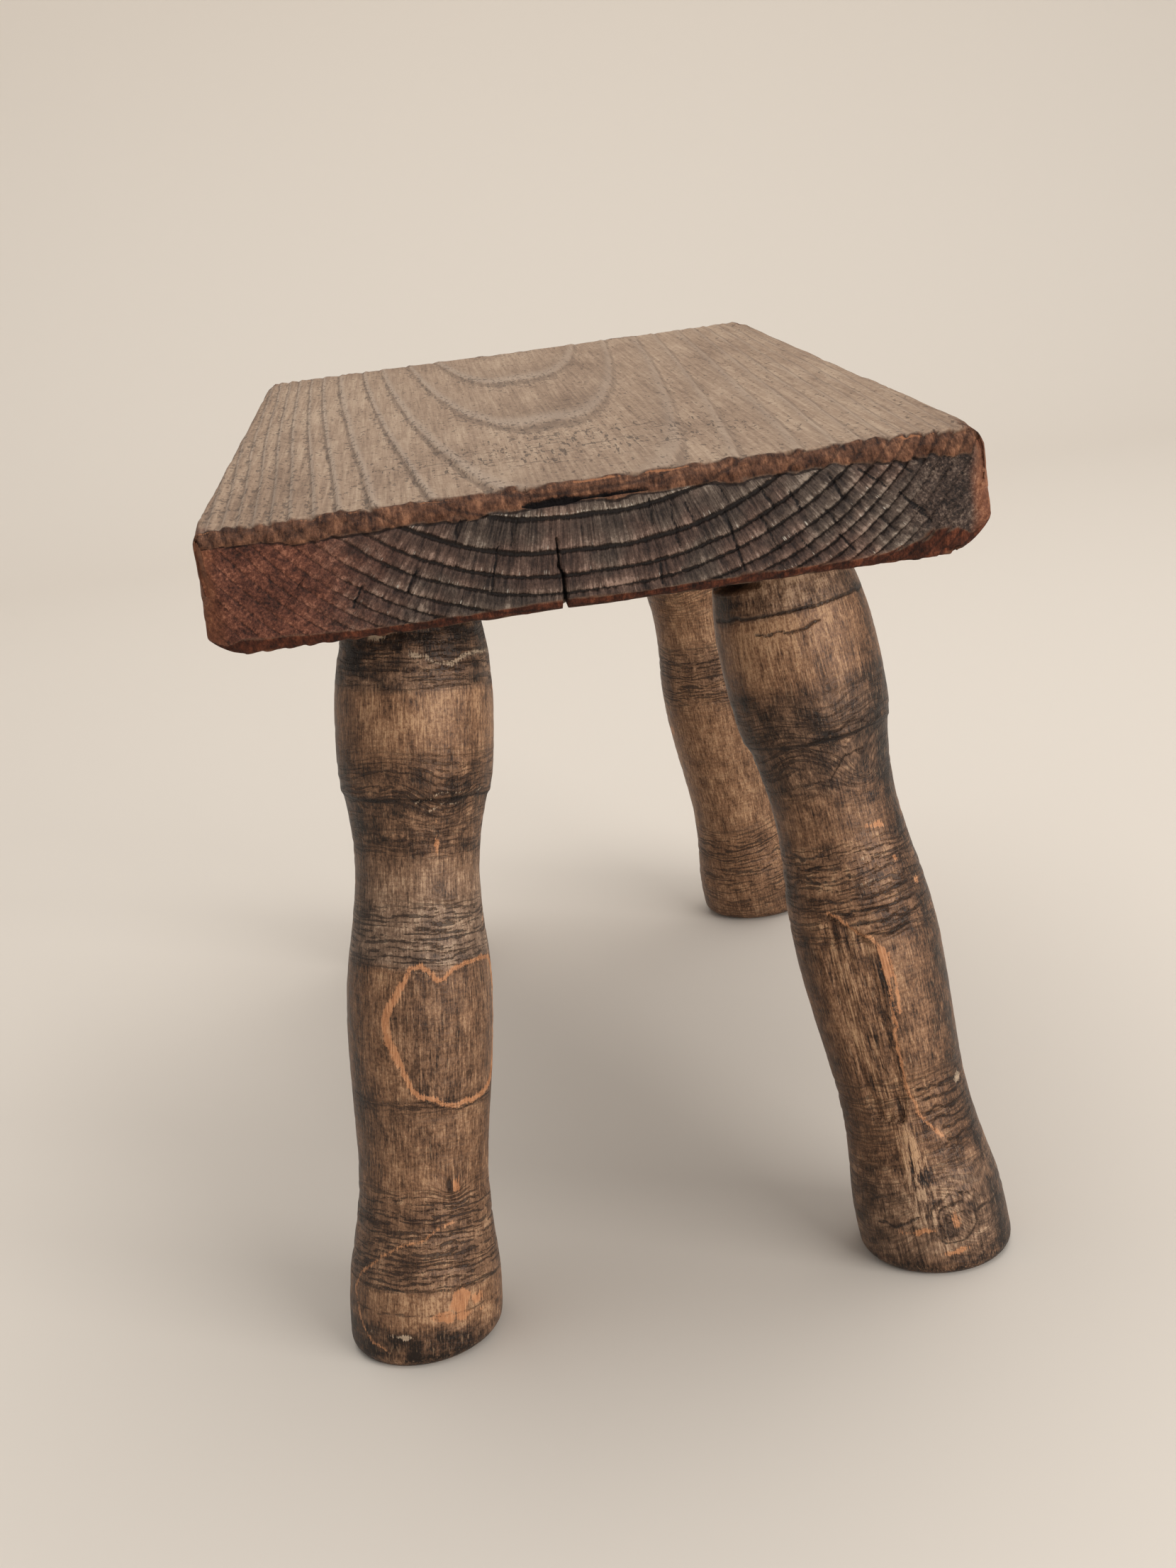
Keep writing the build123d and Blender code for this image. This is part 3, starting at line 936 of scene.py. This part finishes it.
def leg_material():
    look = Look("turned_leg_wood")
    grain = look.painted("grain", "Vector")
    chatter, fibre = look.painted("chatter"), look.painted("fibre")
    strands = look.noise(grain, (2500, 2500, 170), 4, 0.65)
    thick_strands = look.noise(grain, (900, 900, 70), 4, 0.65)
    blotches = look.noise(grain, (190, 190, 120), 6, 0.72)
    speckle = look.noise(grain, (1500, 1500, 1200), 3, 0.65)
    uneven = look.noise(grain, (75, 75, 210), 4, 0.6)
    rings = look.noise(grain, (70, 70, 850), 4, 0.65, distortion=0.4)
    turns = look.sum(0, (look.parts(grain)[2], 4400), (uneven, 30))
    turns = look.sum(-3.3, (look.math("SINE", turns), 0.36), (rings, 4.2), (speckle, 2.2))
    lines = look.times(look.range(turns, 0, 0.5), look.range(chatter, 0.05, 0.85))
    calm = look.sum(1, (chatter, -0.55))

    fine = look.times(look.math("SUBTRACT", strands, 0.5), calm)
    strong = look.times(look.math("SUBTRACT", thick_strands, 0.5), fibre)
    tone = look.sum(-0.99, (look.painted("tone"), 0.4), (blotches, 1.45), (fine, 1.7), (speckle, 1.15),
                    (rings, 0.4), (strong, 2.2))
    brown = look.ramp(tone, (0.015, 0.008, 0.005), (0.09, 0.043, 0.022), (0.233, 0.119, 0.062),
                      (0.47, 0.28, 0.155))
    dusty = look.ramp(tone, (0.016, 0.012, 0.01), (0.078, 0.056, 0.042), (0.19, 0.14, 0.105),
                      (0.44, 0.35, 0.27))
    colour = look.blend((look.painted("grey"), 0.7), brown, dusty)
    flecks = look.range(look.noise(grain, (2400, 2400, 300), 2), 0.62, 0.7)
    colour = look.blend((flecks, 0.45, calm), colour, (0.43, 0.27, 0.16))
    colour = look.blend((lines, 0.8), colour, (0.016, 0.009, 0.007))
    pores = look.range(speckle, 0.6, 0.68)
    colour = look.blend((pores, 0.45), colour, (0.02, 0.011, 0.007))
    jag = look.sum(-1.35, (speckle, 1), (strands, 1.7))
    dark = look.range(look.sum(look.painted("dark"), (jag, 0.8)), -0.25, 0.25)
    colour = look.blend((dark, 0.85), colour, (0.01, 0.006, 0.005))
    bare = look.range(look.sum(look.painted("bare"), (jag, 1.3)), -0.25, 0.15)
    raw = look.ramp(look.sum(-0.65, (strands, 1.5), (blotches, 0.8)), (0.19, 0.072, 0.032),
                    (0.45, 0.2, 0.09), (0.66, 0.36, 0.19))
    colour = look.blend((bare, 0.92), colour, raw)
    pale = look.range(look.sum(look.painted("pale"), (jag, 1.5)), -0.12, 0.3)
    colour = look.blend((pale, 0.85), colour, (0.46, 0.34, 0.235))
    rough = look.sum(0.22, (blotches, 0.2), (speckle, 0.18))
    height = look.sum(0, (strands, 0.35), (lines, -0.8), (speckle, 0.35), (dark, -0.8),
                      (look.times(thick_strands, fibre), 1.4))
    return look.finish(colour, rough, 0.24, height, 0.38)


# ---- floor, light and camera

def make_stage():
    """A pale floor that curves up behind."""
    look = Look("pale_sweep")
    look.surface.inputs["Base Color"].default_value = (0.7, 0.64, 0.57, 1)
    look.surface.inputs["Roughness"].default_value = 0.9
    far, bend, tall, half_width = 1100, 500, 1600, 5000
    profile = [(-5000, 0)]
    for turn in np.linspace(0, math.pi / 2, 17):
        profile.append((far + bend * math.sin(turn), bend * (1 - math.cos(turn))))
    profile.append((far + bend, tall))
    points = np.array([(side * half_width, y, z) for y, z in profile for side in (-1, 1)])
    faces = [(2 * i, 2 * i + 1, 2 * i + 3, 2 * i + 2) for i in range(len(profile) - 1)]
    sweep = new_piece("sweep", points, faces, look.material)
    sweep.data.shade_smooth()


def add_light(name, place, aim, size, power):
    data = bpy.data.lights.new(name, "AREA")
    data.shape = "RECTANGLE"
    data.size, data.size_y = size
    data.energy = power
    data.color = (1, 0.98, 0.95)
    light = bpy.data.objects.new(name, data)
    light.location = place
    light.rotation_euler = (Vector(aim) - Vector(place)).to_track_quat("-Z", "Y").to_euler()
    scene.collection.objects.link(light)


def make_lights():
    add_light("window", (0.95, -1.15, 0.45), (0, 0, 0.12), (1, 0.75), 16)
    add_light("ceiling", (0.1, 0.4, 1.7), (0, 0, 0.1), (1.9, 1.9), 20)
    world = bpy.data.worlds.new("soft_room")
    world.use_nodes = True
    world.node_tree.nodes["Background"].inputs[0].default_value = (1, 0.98, 0.96, 1)
    world.node_tree.nodes["Background"].inputs[1].default_value = 0.5
    scene.world = world


def make_camera():
    """The photograph's view: low, close, along the seat, tilted to one side."""
    data = bpy.data.cameras.new("camera")
    data.lens = 49.39
    data.clip_start = 0.01
    camera = bpy.data.objects.new("camera", data)
    yaw, pitch, roll = (math.radians(angle) for angle in (-3.047, 16.488, 7.408))
    level = Matrix.Rotation(yaw, 3, "Z") @ Matrix.Rotation(math.pi / 2 - pitch, 3, "X")
    turned = level @ Matrix.Rotation(-roll, 3, "Z")
    camera.matrix_world = Matrix.Translation(Vector((-34.83, -648.28, 290.94)) * MM) @ turned.to_4x4()
    scene.collection.objects.link(camera)
    scene.camera = camera


make_seat(seat_material())
leg_wood = leg_material()
for number, (node, bands, marks) in enumerate((
        ("leg_front_left", FRONT_LEFT_BANDS, front_left_wear),
        ("leg_front_right", FRONT_RIGHT_BANDS, front_right_wear),
        ("leg_rear_left", REAR_BANDS, rear_wear),
        ("leg_rear_right", REAR_BANDS, rear_wear))):
    make_leg(node, leg_wood, bands, marks, 100 + 20 * number)
make_stage()
make_lights()
make_camera()
scene.view_settings.view_transform = "Standard"
